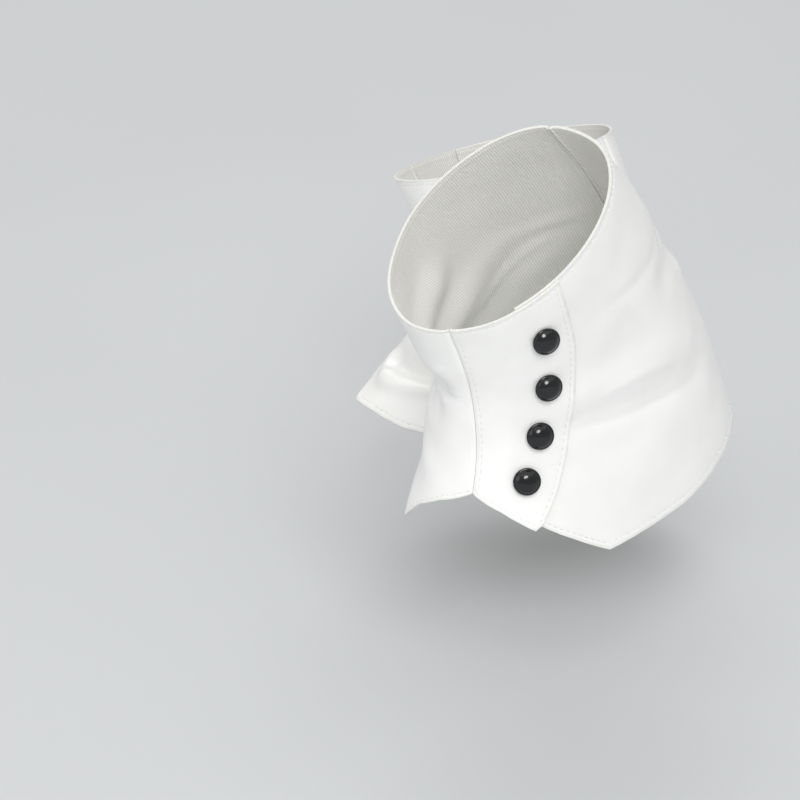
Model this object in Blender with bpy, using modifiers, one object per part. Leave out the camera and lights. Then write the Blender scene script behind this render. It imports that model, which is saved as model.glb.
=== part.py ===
"""A pair of buttoned spats, held in the form they have when worn.

Each spat is cut from three pieces of coated leatherette: an inner half, an outer
front whose curved flap carries four domed buttons, and an outer back that runs
under the flap. The origin is the middle of the left spat, +Z is up, and the pair
faces -Y. Lengths are in millimetres and become metres through MM.
"""
import math

import bmesh
import bpy
import numpy as np
from mathutils import Vector

MM = 0.001

# The cloth and its seams
WALL = 1.2                  # thickness of the leatherette
GAP = 0.3                   # clearance between pieces that lie on one another
SEAM_GAP = 0.6              # outer width of a seam, which narrows to the inner face
UNDERLAP = 22.0             # degrees that the outer back runs on under the flap
LAP_RISE = (0.05, 0.90)     # shares of the way from the front seam to the underlap
CORNER_ANGLE = 35.0         # degrees above which an edge is shaded sharp
NORMAL_TURN = 0.25          # degrees either way over which the form's slope is read
NORMAL_DROP = 0.004         # levels either way over which the form's slope is read

# The domed buttons
BUTTON_DIAMETER = 11.0
BUTTON_HEIGHT = 3.3
BUTTON_STEPS = 20

# The grid of each piece
LEVEL_ROWS = 14
INNER_COLUMNS = 28
FRONT_COLUMNS = 18
BACK_COLUMNS = 22

# Sections of a spat, top to bottom, in its own frame: x is forward and z up from
# its middle. Each section is an egg-shaped loop in a plane through its heel point
# and its instep point, rounder or flatter by its powers.
SECTION_COLUMNS = ("level", "heel_x", "heel_z", "instep_x", "instep_z", "outer_width",
                   "inner_width", "widest", "outer_power", "inner_power")
HEEL_POWER = 2.1

# The left spat bends with its heel lifted, so its front leans over the instep.
LIFTED_SECTIONS = (
    (0.00, -58,  88,  46,  76,  43, 41, 0.50, 2.0, 1.9),
    (0.25, -66,  60,  47,  52,  42, 40, 0.48, 2.0, 1.85),
    (0.50, -72,  24,  51,  29,  41, 40, 0.46, 2.0, 2.05),
    (0.75, -75, -14,  61,   8,  43, 41, 0.45, 2.1, 1.95),
    (1.00, -73, -54,  80, -14,  47, 48, 0.45, 2.2, 2.25),
    (1.20, -70, -84,  98, -32,  50, 51, 0.45, 2.2, 2.2),
)

# The right spat is set flat, so it stands steeper over a longer instep.
FLAT_SECTIONS = (
    (0.00, -50,  92,  50,  84,  43, 43, 0.50, 2.0, 2.0),
    (0.25, -56,  62,  42,  56,  42, 42, 0.48, 2.0, 2.0),
    (0.50, -62,  26,  44,  32,  41, 41, 0.46, 2.0, 2.0),
    (0.75, -66, -12,  55,  11,  43, 43, 0.45, 2.1, 2.1),
    (1.00, -66, -50,  83,  -7,  47, 47, 0.45, 2.2, 2.2),
    (1.20, -64, -80, 104, -22,  50, 50, 0.45, 2.2, 2.2),
)

# The cut, in degrees from the front seam: the outer side is positive, the inner
# side negative. The hem notches up at the front seam and drops on each side of
# it, to the flap's corner on the outer side.
HEMS = {  # angle, level
    "inner_half": ((-180, 1.04), (-130, 1.08), (-100, 1.09), (-80, 1.084), (-64, 1.049),
                   (-50, 1.027), (-46, 1.021), (-42, 0.990), (-32, 0.917), (-18, 0.856),
                   (0, 0.804)),
    "outer_front": ((0, 0.804), (14, 0.868), (28.5, 0.958), (31, 0.945)),
    "outer_back": ((0, 0.80), (14, 0.862), (30, 0.945), (43, 1.035), (55, 1.125),
                   (80, 1.13), (130, 1.09), (180, 1.04)),
}
FRONT_SEAM = (  # level, angle
    (0.00, 5), (0.25, 5), (0.50, 3), (0.65, 1.5), (0.80, 0),
)
FLAP_EDGE = (  # level, angle
    (0.00, 61), (0.31, 54.5), (0.49, 48), (0.655, 42.5), (0.85, 36.5), (0.96, 30.5), (1.05, 25),
)
BUTTONS = (  # level, angle
    (0.201, 44), (0.416, 38), (0.611, 30.5), (0.777, 24),
)

# Folds pressed into the cloth, each a soft ridge (height above 0) or trough
# along a line from one angle and level to another. Its half width is measured
# across that line on the cloth laid out flat.
FOLD_MM_PER_DEGREE = 0.8
FOLD_MM_PER_LEVEL = 130.0
FOLD_COLUMNS = ("from_angle", "from_level", "to_angle", "to_level", "half_width", "height")
LEFT_FOLDS = (
    (-80, 0.29, -20, 0.345, 9.0, -5.0),
    (-90, 0.475, -34, 0.465, 12.5, -5.1),
    (-100, 0.775, -38, 0.745, 10.5, 2.0),
    ( 47, 0.66, 100, 0.82, 7.0, -1.2),
    ( 52, 0.55, 104, 0.70, 8.0,  1.0),
    (112, 0.46, 150, 0.50, 7.0, -1.2),
    (-60, 0.50, -118, 0.42, 7.0, -1.4),
    (-52, 0.66, -104, 0.60, 8.0,  1.2),
    (-128, 0.58, -162, 0.52, 7.0, -1.2),
)
RIGHT_FOLDS = (
    (-12, 0.91, -46, 0.945, 9.0, -2.2),
    (-48, 0.885, -92, 0.92, 4.5,  2.0),
    (-42, 0.82, -86, 0.855, 5.0, -2.4),
    (-50, 0.60, -110, 0.52, 7.0, -1.3),
    (-125, 0.62, -168, 0.55, 7.0, -1.5),
    ( 50, 0.64, 104, 0.76, 7.0, -1.3),
    ( 58, 0.50, 108, 0.62, 8.0,  1.1),
    (122, 0.48, 168, 0.53, 7.0, -1.5),
)

# Where each spat stands. Its front turns out from -Y, its heel lifts, its outer
# side tips up, and the front seam sits a little to the outer side of the instep.
SPATS = (
    dict(name="left", side=1, middle=(0, 0, 0), turned_out=11, heel_lift=27, tip=0,
         turn=15, sections=LIFTED_SECTIONS, folds=LEFT_FOLDS),
    dict(name="right", side=-1, middle=(-141, 94, -54), turned_out=24, heel_lift=6, tip=-13,
         turn=33, sections=FLAT_SECTIONS, folds=RIGHT_FOLDS),
)

WHITE_LEATHERETTE = dict(color=(0.83, 0.83, 0.81, 1.0), roughness=0.32)
BLACK_PLASTIC = dict(color=(0.012, 0.012, 0.013, 1.0), roughness=0.22)


def smooth_table(rows, at):
    """Read a table whose first column is its key through a smooth curve."""
    table = np.array(rows, float)
    keys = table[:, 0]
    slopes = np.gradient(table[:, 1:], keys, axis=0)
    row = np.clip(np.searchsorted(keys, at, side="right") - 1, 0, len(keys) - 2)
    span = (keys[row + 1] - keys[row])[..., None]
    u = (np.asarray(at)[..., None] - keys[row][..., None]) / span
    start, end = table[row, 1:], table[row + 1, 1:]
    return ((2 * u**3 - 3 * u**2 + 1) * start + (u**3 - 2 * u**2 + u) * span * slopes[row]
            + (3 * u**2 - 2 * u**3) * end + (u**3 - u**2) * span * slopes[row + 1])


def read_line(rows, at):
    """Read a line of the cut, straight between its rows."""
    keys, values = zip(*rows)
    return np.interp(at, keys, values)


def seam_angle(level):
    """Angle of the front seam at a level."""
    return read_line(FRONT_SEAM, level)


def flap_angle(level):
    """Angle of the flap's edge at a level."""
    return read_line(FLAP_EDGE, level)


def loop_point(spat, angle, level):
    """Point of the smooth form, before its folds, in the frame of the spat."""
    turned = np.radians(np.asarray(angle, float) + spat["turn"])
    (heel_x, heel_z, instep_x, instep_z, outer_width, inner_width, widest,
     outer_power, inner_power) = np.moveaxis(smooth_table(spat["sections"], level), -1, 0)
    ahead, aside = np.cos(turned), np.sin(turned)
    width = np.where(aside >= 0, outer_width, inner_width)
    power = np.where(ahead < 0, HEEL_POWER, np.where(aside >= 0, outer_power, inner_power))
    reach = np.abs(ahead) ** (2 / power)
    along = np.where(ahead >= 0, widest + (1 - widest) * reach, widest * (1 - reach))
    outward = width * np.abs(aside) ** (2 / power) * np.sign(aside)
    return np.stack([heel_x + (instep_x - heel_x) * along,
                     outward * spat["side"],
                     heel_z + (instep_z - heel_z) * along], axis=-1)


def surface_normal(form, spat, angle, level):
    """Outward normal of a form, from how it changes with angle and level."""
    around = form(spat, angle + NORMAL_TURN, level) - form(spat, angle - NORMAL_TURN, level)
    down = form(spat, angle, level + NORMAL_DROP) - form(spat, angle, level - NORMAL_DROP)
    normal = np.cross(down, around) * spat["side"]
    return normal / np.linalg.norm(normal, axis=-1, keepdims=True)


def flat_place(angle, level):
    """Place on the cloth laid out flat, in millimetres."""
    return np.stack([angle * FOLD_MM_PER_DEGREE, level * FOLD_MM_PER_LEVEL], axis=-1)


def fold_height(spat, angle, level):
    """How far the folds lift the cloth at an angle and level."""
    lift = np.zeros(np.shape(angle))
    for row in spat["folds"]:
        fold = dict(zip(FOLD_COLUMNS, row))
        run = flat_place(fold["to_angle"] - fold["from_angle"], fold["to_level"] - fold["from_level"])
        across = flat_place(angle - fold["from_angle"], level - fold["from_level"])
        share = across @ run / (run @ run)
        distance = np.linalg.norm(across - np.clip(share, 0, 1)[..., None] * run, axis=-1)
        lift += fold["height"] * np.exp(-(distance / fold["half_width"]) ** 2)
    return lift


def folded_point(spat, angle, level):
    """Point of the form with its folds."""
    angle, level = np.broadcast_arrays(np.asarray(angle, float), np.asarray(level, float))
    lift = fold_height(spat, angle, level)
    return (loop_point(spat, angle, level)
            + lift[..., None] * surface_normal(loop_point, spat, angle, level))


def cloth_point(spat, angle, level, lift):
    """Point of the folded form, moved out by lift along its normal."""
    normal = surface_normal(folded_point, spat, angle, level)
    return folded_point(spat, angle, level) + np.asarray(lift)[..., None] * normal


def under_angle(level):
    """Angle of the outer back's hidden edge at a level."""
    return flap_angle(level) - UNDERLAP


def follow(line, hem, share):
    """Angle at which a line, given by level, crosses each row of a panel's grid."""
    angle = line(share)
    for _ in range(8):
        angle = line(share * read_line(hem, angle))
    return angle


def half_gap(spat, angle, level):
    """Degrees that half a seam's gap takes up on the form."""
    ahead = folded_point(spat, angle + 0.5, level)
    behind = folded_point(spat, angle - 0.5, level)
    return SEAM_GAP / 2 / np.linalg.norm(ahead - behind, axis=-1)


def inner_half_edges(spat, hem, share):
    """The inner half runs from the back seam round the inner side to the front seam."""
    back, front = np.full(share.shape, -180.0), follow(seam_angle, hem, share)
    back += half_gap(spat, back, share * read_line(hem, back))
    return back, front - half_gap(spat, front, share * read_line(hem, front))


def outer_front_edges(spat, hem, share):
    """The outer front runs from the front seam to the flap's curved edge."""
    front = follow(seam_angle, hem, share)
    front += half_gap(spat, front, share * read_line(hem, front))
    return front, follow(flap_angle, hem, share)


def outer_back_edges(spat, hem, share):
    """The outer back runs from under the flap to the back seam."""
    back = np.full(share.shape, 180.0)
    back -= half_gap(spat, back, share * read_line(hem, back))
    return follow(under_angle, hem, share), back


def no_lift(spat, angle, level):
    """Cloth that lies against the form."""
    return np.zeros(np.shape(angle))


def lap_lift(spat, angle, level):
    """Cloth that rises from the front seam until it clears the piece under it."""
    seam, under = seam_angle(level), under_angle(level)
    start, end = (seam + share * (under - seam) for share in LAP_RISE)
    rise = np.clip((angle - start) / (end - start), 0, 1)
    return (WALL + GAP) * rise * rise * (3 - 2 * rise)


PANELS = (  # name, edges, lift, columns
    ("inner_half", inner_half_edges, no_lift, INNER_COLUMNS),
    ("outer_front", outer_front_edges, lap_lift, FRONT_COLUMNS),
    ("outer_back", outer_back_edges, no_lift, BACK_COLUMNS),
)


def panel_points(spat, hem, edges, lift, columns):
    """Rows of points of a panel's outer face, top to hem, in metres."""
    share = np.linspace(0, 1, LEVEL_ROWS + 1)
    first, last = edges(spat, hem, share)
    across = np.linspace(0, 1, columns + 1)[None, :]
    angle = first[:, None] + (last - first)[:, None] * across
    level = share[:, None] * read_line(hem, angle)
    return cloth_point(spat, angle, level, lift(spat, angle, level)) * MM


def make_material(name, color, roughness):
    material = bpy.data.materials.new(name)
    material.use_nodes = True
    shader = material.node_tree.nodes["Principled BSDF"]
    shader.inputs["Base Color"].default_value = color
    shader.inputs["Roughness"].default_value = roughness
    return material


def add_object(name, mesh, frame, collection):
    """Add a mesh to the collection as a piece that moves with its spat's frame."""
    piece = bpy.data.objects.new(name, mesh)
    piece.parent = frame
    collection.objects.link(piece)
    return piece


def make_panel(name, frame, collection, spat, points):
    """A loft between unlike sections, given its thickness inwards by Solidify."""
    grid = bmesh.new()
    corners = [[grid.verts.new(point) for point in row] for row in points]
    for upper, lower in zip(corners, corners[1:]):
        for a, b, c, d in zip(upper, lower, lower[1:], upper[1:]):
            grid.faces.new((a, b, c, d) if spat["side"] > 0 else (d, c, b, a))
    mesh = bpy.data.meshes.new(name)
    grid.to_mesh(mesh)
    grid.free()
    mesh.shade_smooth()
    mesh.set_sharp_from_angle(angle=math.radians(CORNER_ANGLE))
    panel = add_object(name, mesh, frame, collection)
    wall = panel.modifiers.new("wall", "SOLIDIFY")
    wall.thickness = WALL * MM
    wall.offset = -1.0
    panel.data.materials.append(make_material(name, **WHITE_LEATHERETTE))
    return panel


def button_profile():
    """Turned outline of a button: short shank, rolled rim and low dome."""
    radius, height = BUTTON_DIAMETER / 2, BUTTON_HEIGHT
    return (
        (0.00, height), (0.40 * radius, 0.93 * height), (0.72 * radius, 0.76 * height),
        (0.92 * radius, 0.58 * height), (radius, 0.42 * height), (0.96 * radius, 0.27 * height),
        (0.52 * radius, 0.22 * height), (0.50 * radius, 0.00), (0.00, 0.00),
    )


def make_button_mesh():
    """One button, turned about +Z, that stands on z = 0."""
    outline = bmesh.new()
    corners = [outline.verts.new((x * MM, 0, z * MM)) for x, z in button_profile()]
    for start, end in zip(corners, corners[1:]):
        outline.edges.new((start, end))
    mesh = bpy.data.meshes.new("button_outline")
    outline.to_mesh(mesh)
    outline.free()
    turned = bpy.data.objects.new("button_outline", mesh)
    bpy.context.scene.collection.objects.link(turned)
    screw = turned.modifiers.new("turn", "SCREW")
    screw.steps = BUTTON_STEPS
    screw.render_steps = BUTTON_STEPS
    screw.use_merge_vertices = True
    screw.merge_threshold = 0.00001
    evaluated = turned.evaluated_get(bpy.context.evaluated_depsgraph_get())
    button = bpy.data.meshes.new_from_object(evaluated)
    bpy.data.objects.remove(turned)
    button.name = "button"
    button.materials.append(make_material("button", **BLACK_PLASTIC))
    button.shade_smooth()
    button.set_sharp_from_angle(angle=math.radians(CORNER_ANGLE))
    return button


def place_buttons(spat, frame, collection, mesh):
    """Seat the buttons on the flap, the top one first."""
    for number, (level, angle) in enumerate(BUTTONS, start=1):
        name = f"{spat['name']}_button_{number}"
        button = add_object(name, mesh, frame, collection)
        seat = lap_lift(spat, angle, level) + GAP
        normal = Vector(surface_normal(folded_point, spat, angle, level))
        button.location = Vector(cloth_point(spat, angle, level, seat)) * MM
        button.rotation_mode = "QUATERNION"
        button.rotation_quaternion = normal.to_track_quat("Z", "Y")


def make_spat_frame(spat, collection):
    """Empty at the spat's middle, with x forward over the instep and z up through the top."""
    frame = bpy.data.objects.new(f"{spat['name']}_spat_frame", None)
    frame.empty_display_size = 0.03
    frame.location = Vector(spat["middle"]) * MM
    heading = spat["side"] * spat["turned_out"] - 90
    frame.rotation_euler = [math.radians(turn) for turn in
                            (spat["side"] * spat["tip"], spat["heel_lift"], heading)]
    collection.objects.link(frame)
    return frame


def make_spat(spat, collection, button_mesh):
    frame = make_spat_frame(spat, collection)
    for panel, edges, lift, columns in PANELS:
        points = panel_points(spat, HEMS[panel], edges, lift, columns)
        make_panel(f"{spat['name']}_{panel}", frame, collection, spat, points)
    place_buttons(spat, frame, collection, button_mesh)


def main():
    for piece in list(bpy.data.objects):
        bpy.data.objects.remove(piece)
    collection = bpy.data.collections.new("pair_of_spats")
    bpy.context.scene.collection.children.link(collection)
    button_mesh = make_button_mesh()
    for spat in SPATS:
        make_spat(spat, collection, button_mesh)


main()
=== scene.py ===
"""Dresses a pair of worn leatherette spats: cloth, seams, topstitching, buttons and studio.

Lengths in the form's tables and functions are in millimetres, and MM turns them
into metres. A place on a spat is an angle round it from its front seam
(outer side positive, inner side negative) and a level from its top edge down.
"""

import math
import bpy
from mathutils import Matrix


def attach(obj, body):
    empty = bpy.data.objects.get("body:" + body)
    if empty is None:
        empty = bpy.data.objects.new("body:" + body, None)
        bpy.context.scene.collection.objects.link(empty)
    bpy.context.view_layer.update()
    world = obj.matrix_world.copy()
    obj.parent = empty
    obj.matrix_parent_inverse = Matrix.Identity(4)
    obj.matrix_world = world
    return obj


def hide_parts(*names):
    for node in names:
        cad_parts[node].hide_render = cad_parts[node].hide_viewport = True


bl_info = {
    "name": "Pair of Buttoned Spats",
    "version": (1, 0, 0),
    "blender": (4, 5, 0),
    "location": "View3D > Sidebar > Spats",
    "description": "Makes the cloth, stitching and buttons of a pair of worn spats, and their studio",
    "category": "Object",
}

import bmesh
import bpy
import numpy as np
from bpy.props import FloatProperty, FloatVectorProperty, IntProperty, PointerProperty
from mathutils import Euler, Matrix, Vector

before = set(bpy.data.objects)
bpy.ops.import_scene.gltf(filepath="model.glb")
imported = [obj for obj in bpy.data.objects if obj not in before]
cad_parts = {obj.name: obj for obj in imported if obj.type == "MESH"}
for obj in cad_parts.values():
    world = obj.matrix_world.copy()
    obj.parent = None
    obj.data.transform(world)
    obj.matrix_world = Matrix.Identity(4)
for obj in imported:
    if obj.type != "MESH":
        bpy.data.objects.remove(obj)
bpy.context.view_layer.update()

MM = 0.001
GAP = 0.3                  # clearance of the flap over the piece under it
UNDERLAP = 22.0            # degrees that the outer back runs on under the flap
LAP_RISE = (0.05, 0.90)    # shares of the way from the front seam to the underlap
SEAM_GAP = 0.12            # what stays open between two pieces sewn together
NORMAL_TURN = 0.25         # degrees either way over which the form's slope is read
NORMAL_DROP = 0.004        # levels either way over which the form's slope is read


# ---- The form of a spat, shared with its solids ----

SECTION_COLUMNS = ("level", "heel_x", "heel_z", "instep_x", "instep_z", "outer_width",
                   "inner_width", "widest", "outer_power", "inner_power")
HEEL_POWER = 2.1
LIFTED_SECTIONS = (
    (0.00, -58,  88,  46,  76,  43, 41, 0.50, 2.0, 1.9),
    (0.25, -66,  60,  47,  52,  42, 40, 0.48, 2.0, 1.85),
    (0.50, -72,  24,  51,  29,  41, 40, 0.46, 2.0, 2.05),
    (0.75, -75, -14,  61,   8,  43, 41, 0.45, 2.1, 1.95),
    (1.00, -73, -54,  80, -14,  47, 48, 0.45, 2.2, 2.25),
    (1.20, -70, -84,  98, -32,  50, 51, 0.45, 2.2, 2.2),
)
FLAT_SECTIONS = (
    (0.00, -50,  92,  50,  84,  43, 43, 0.50, 2.0, 2.0),
    (0.25, -56,  62,  42,  56,  42, 42, 0.48, 2.0, 2.0),
    (0.50, -62,  26,  44,  32,  41, 41, 0.46, 2.0, 2.0),
    (0.75, -66, -12,  55,  11,  43, 43, 0.45, 2.1, 2.1),
    (1.00, -66, -50,  83,  -7,  47, 47, 0.45, 2.2, 2.2),
    (1.20, -64, -80, 104, -22,  50, 50, 0.45, 2.2, 2.2),
)
HEMS = {  # angle, level
    "inner_half": ((-180, 1.04), (-130, 1.08), (-100, 1.09), (-80, 1.084), (-64, 1.049),
                   (-50, 1.027), (-46, 1.021), (-42, 0.990), (-32, 0.917), (-18, 0.856),
                   (0, 0.804)),
    "outer_front": ((0, 0.804), (14, 0.868), (28.5, 0.958), (31, 0.945)),
    "outer_back": ((0, 0.80), (14, 0.862), (30, 0.945), (43, 1.035), (55, 1.125),
                   (80, 1.13), (130, 1.09), (180, 1.04)),
}
FRONT_SEAM = (  # level, angle
    (0.00, 5), (0.25, 5), (0.50, 3), (0.65, 1.5), (0.80, 0),
)
FLAP_EDGE = (  # level, angle
    (0.00, 61), (0.31, 54.5), (0.49, 48), (0.655, 42.5), (0.85, 36.5), (0.96, 30.5), (1.05, 25),
)
BUTTONS = (  # level, angle, lean back towards the top edge in degrees
    (0.201, 44, 13), (0.416, 38, 14), (0.611, 30.5, 11), (0.777, 24, 6),
)

# Pressed folds, as in the solids: a ridge (height above 0) or a trough along a line.
FLAT_MM_PER_DEGREE = 0.8
FLAT_MM_PER_LEVEL = 130.0
FOLD_COLUMNS = ("from_angle", "from_level", "to_angle", "to_level", "half_width", "height")
LEFT_FOLDS = (
    (-80, 0.29, -20, 0.345, 9.0, -5.0),
    (-90, 0.475, -34, 0.465, 12.5, -5.1),
    (-100, 0.775, -38, 0.745, 10.5, 2.0),
    ( 47, 0.66, 100, 0.82, 7.0, -1.2),
    ( 52, 0.55, 104, 0.70, 8.0,  1.0),
    (112, 0.46, 150, 0.50, 7.0, -1.2),
    (-60, 0.50, -118, 0.42, 7.0, -1.4),
    (-52, 0.66, -104, 0.60, 8.0,  1.2),
    (-128, 0.58, -162, 0.52, 7.0, -1.2),
)
RIGHT_FOLDS = (
    (-12, 0.91, -46, 0.945, 9.0, -2.2),
    (-48, 0.885, -92, 0.92, 4.5,  2.0),
    (-42, 0.82, -86, 0.855, 5.0, -2.4),
    (-50, 0.60, -110, 0.52, 7.0, -1.3),
    (-125, 0.62, -168, 0.55, 7.0, -1.5),
    ( 50, 0.64, 104, 0.76, 7.0, -1.3),
    ( 58, 0.50, 108, 0.62, 8.0,  1.1),
    (122, 0.48, 168, 0.53, 7.0, -1.5),
)

# Finer creases that only the cloth has. Each bows sideways by its last column,
# in millimetres, and runs out at both ends.
CREASE_COLUMNS = FOLD_COLUMNS + ("bow",)
LEFT_CREASES = (
    (-66, 1.06, -26, 0.97, 9.0, -0.5,  0.0),
    ( -7, 0.20, -37, 0.41, 1.8,  0.7,  0.0),
    (-35, 0.415, -5, 0.37, 2.0, -1.1,  1.5),
    ( 44, 0.665, 102, 0.825, 1.8, -0.45, 2.5),
    ( 56, 0.60, 92, 0.71, 2.4,  0.35, -2.0),
    ( 72, 0.30, 122, 0.36, 3.5, -0.6,  4.0),
    (118, 0.40, 172, 0.44, 3.0, -0.8, -3.0),
    (128, 0.56, 176, 0.58, 3.2,  0.7,  3.0),
    (140, 0.68, 177, 0.71, 2.8, -0.6, -2.0),
    (-32, 0.58, -84, 0.50, 3.0, -0.7,  4.0),
    (-70, 0.72, -124, 0.66, 3.2,  0.6, -4.0),
    (-96, 0.56, -150, 0.50, 2.6, -0.7,  3.0),
    (-120, 0.40, -172, 0.44, 3.0, -0.8, -3.0),
    (-130, 0.70, -176, 0.74, 2.8, -0.5,  2.0),
)
RIGHT_CREASES = (
    (-28, 0.81, -90, 0.905, 3.0, 1.7, -9.8),
    (-34, 0.80, -96, 0.865, 5.2, -2.8, -4.5),
    (-30, 0.73, -100, 0.79, 8.5, 2.0, -3.0),
    (-30, 0.66, -72, 0.60, 3.0, -0.8,  3.0),
    (-60, 0.46, -112, 0.40, 3.2,  0.6, -4.0),
    (-112, 0.60, -172, 0.54, 2.6, -0.8,  3.0),
    (-120, 0.72, -174, 0.70, 3.0,  0.6, -3.0),
    ( 60, 0.68, 112, 0.80, 2.0, -0.5,  3.0),
    ( 70, 0.36, 124, 0.40, 3.2, -0.6,  4.0),
    (120, 0.55, 174, 0.60, 3.0,  0.7,  3.0),
    (132, 0.66, 176, 0.70, 2.8, -0.7, -2.0),
)
WAVES = (  # wavelength, heading in degrees, phase in degrees, height
    (46, 20, 10, 0.16), (33, 75, 130, 0.11), (24, 140, 250, 0.06), (17, 50, 310, 0.03),
)
BUTTON_PULL = 0.35         # how far each button draws the cloth in
BUTTON_PULL_REACH = 7.5

SPATS = {
    "left": dict(side=1, middle=(0, 0, 0), turned_out=11, heel_lift=27, tip=0, turn=15,
                 sections=LIFTED_SECTIONS, folds=LEFT_FOLDS, creases=LEFT_CREASES),
    "right": dict(side=-1, middle=(-141, 94, -54), turned_out=24, heel_lift=6, tip=-13, turn=33,
                  sections=FLAT_SECTIONS, folds=RIGHT_FOLDS, creases=RIGHT_CREASES),
}

# The grid of a piece of cloth: close rows along its edges, for the seams and
# stitching there, and wider ones between. The stitching follows one of the
# close rows.
EDGE_STEPS = (0.0, 0.4, 0.8, 1.2, 1.6, 2.0, 2.4, 2.8, 3.2, 3.9)
STITCH_STEP = 6
NOMINAL_HEIGHT = 132.0
ROW_SAMPLES = 97

# Each piece: which of its sides are sewn seams, which are topstitched, the
# count of wide columns, and its flat cut in metres (width, length, area).
PANELS = {
    "inner_half": dict(seams=("first", "last"), stitched=("first", "top", "hem"), columns=88,
                       flat=(0.170, 0.152), area=0.0204),
    "outer_front": dict(seams=("first",), stitched=("first", "last", "top", "hem"), columns=22,
                        flat=(0.054, 0.122), area=0.0040),
    "outer_back": dict(seams=("last",), stitched=("last", "top", "hem"), columns=88,
                       flat=(0.172, 0.160), area=0.0203),
}


def smooth_table(rows, at):
    """Read a table whose first column is its key through a smooth curve."""
    table = np.array(rows, float)
    keys = table[:, 0]
    slopes = np.gradient(table[:, 1:], keys, axis=0)
    row = np.clip(np.searchsorted(keys, at, side="right") - 1, 0, len(keys) - 2)
    span = (keys[row + 1] - keys[row])[..., None]
    u = (np.asarray(at)[..., None] - keys[row][..., None]) / span
    start, end = table[row, 1:], table[row + 1, 1:]
    return ((2 * u**3 - 3 * u**2 + 1) * start + (u**3 - 2 * u**2 + u) * span * slopes[row]
            + (3 * u**2 - 2 * u**3) * end + (u**3 - u**2) * span * slopes[row + 1])


def read_line(rows, at):
    """Read a line of the cut, straight between its rows."""
    keys, values = zip(*rows)
    return np.interp(at, keys, values)


def seam_angle(level):
    """Angle of the front seam at a level."""
    return read_line(FRONT_SEAM, level)


def flap_angle(level):
    """Angle of the flap's edge at a level."""
    return read_line(FLAP_EDGE, level)


def under_angle(level):
    """Angle of the outer back's hidden edge at a level."""
    return flap_angle(level) - UNDERLAP


def loop_point(spat, angle, level):
    """Point of the smooth form, before its folds, in the frame of the spat."""
    turned = np.radians(angle + spat["turn"])
    values = np.moveaxis(smooth_table(spat["sections"], level), -1, 0)
    section = dict(zip(SECTION_COLUMNS[1:], values))
    heel_x, heel_z, widest = section["heel_x"], section["heel_z"], section["widest"]
    ahead, aside = np.cos(turned), np.sin(turned)
    width = np.where(aside >= 0, section["outer_width"], section["inner_width"])
    power = np.where(ahead < 0, HEEL_POWER,
                     np.where(aside >= 0, section["outer_power"], section["inner_power"]))
    reach = np.abs(ahead) ** (2 / power)
    along = np.where(ahead >= 0, widest + (1 - widest) * reach, widest * (1 - reach))
    outward = width * np.abs(aside) ** (2 / power) * np.sign(aside)
    return np.stack([heel_x + (section["instep_x"] - heel_x) * along,
                     outward * spat["side"],
                     heel_z + (section["instep_z"] - heel_z) * along], axis=-1)


def surface_normal(form, spat, angle, level):
    """Outward normal of a form, from how it changes with angle and level."""
    around = form(spat, angle + NORMAL_TURN, level) - form(spat, angle - NORMAL_TURN, level)
    down = form(spat, angle, level + NORMAL_DROP) - form(spat, angle, level - NORMAL_DROP)
    normal = np.cross(down, around) * spat["side"]
    return normal / np.linalg.norm(normal, axis=-1, keepdims=True)


def flat_place(angle, level):
    """Place on the cloth laid out flat, in millimetres."""
    return np.stack([angle * FLAT_MM_PER_DEGREE, level * FLAT_MM_PER_LEVEL], axis=-1)


def along_line(fold, angle, level):
    """Share of the way along a fold's line, and the offset from that line."""
    run = flat_place(fold["to_angle"] - fold["from_angle"], fold["to_level"] - fold["from_level"])
    place = flat_place(angle - fold["from_angle"], level - fold["from_level"])
    share = np.clip(place @ run / (run @ run), 0, 1)
    return share, place - share[..., None] * run, run / np.linalg.norm(run)


def fold_height(spat, angle, level):
    """How far the pressed folds lift the cloth."""
    lift = np.zeros(np.shape(angle))
    for row in spat["folds"]:
        fold = dict(zip(FOLD_COLUMNS, row))
        _, offset, _ = along_line(fold, angle, level)
        distance = np.linalg.norm(offset, axis=-1)
        lift += fold["height"] * np.exp(-(distance / fold["half_width"]) ** 2)
    return lift


def crease_height(spat, angle, level):
    """How far the finer creases lift the cloth."""
    lift = np.zeros(np.shape(angle))
    for row in spat["creases"]:
        crease = dict(zip(CREASE_COLUMNS, row))
        share, offset, run = along_line(crease, angle, level)
        taper = 4 * share * (1 - share)
        side = np.array([-run[1], run[0]])
        distance = np.linalg.norm(offset - crease["bow"] * taper[..., None] * side, axis=-1)
        lift += crease["height"] * np.sqrt(taper) * np.exp(-(distance / crease["half_width"]) ** 2)
    return lift


def wave_height(spat, angle, level):
    """Slow unevenness of worn cloth."""
    place = flat_place(angle, level)
    lift = np.zeros(np.shape(angle))
    for length, heading, phase, height in WAVES:
        way = np.array([math.cos(math.radians(heading)), math.sin(math.radians(heading))])
        lift += height * np.sin(2 * math.pi * (place @ way) / length
                                + math.radians(phase * spat["side"]))
    return lift


def pull_height(angle, level):
    """Shallow dimple round each button."""
    lift = np.zeros(np.shape(angle))
    for button_level, button_angle, _ in BUTTONS:
        place = flat_place(angle - button_angle, level - button_level)
        distance = np.linalg.norm(place, axis=-1)
        lift -= BUTTON_PULL * np.exp(-(distance / BUTTON_PULL_REACH) ** 2)
    return lift


def folded_point(spat, angle, level):
    """Point of the form with its pressed folds."""
    lift = fold_height(spat, angle, level)
    return loop_point(spat, angle, level) + lift[..., None] * surface_normal(loop_point, spat, angle, level)


def worn_point(spat, angle, level):
    """Point of the form with its folds, creases and unevenness."""
    lift = (fold_height(spat, angle, level) + crease_height(spat, angle, level)
            + wave_height(spat, angle, level) + pull_height(angle, level))
    return loop_point(spat, angle, level) + lift[..., None] * surface_normal(loop_point, spat, angle, level)


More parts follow.
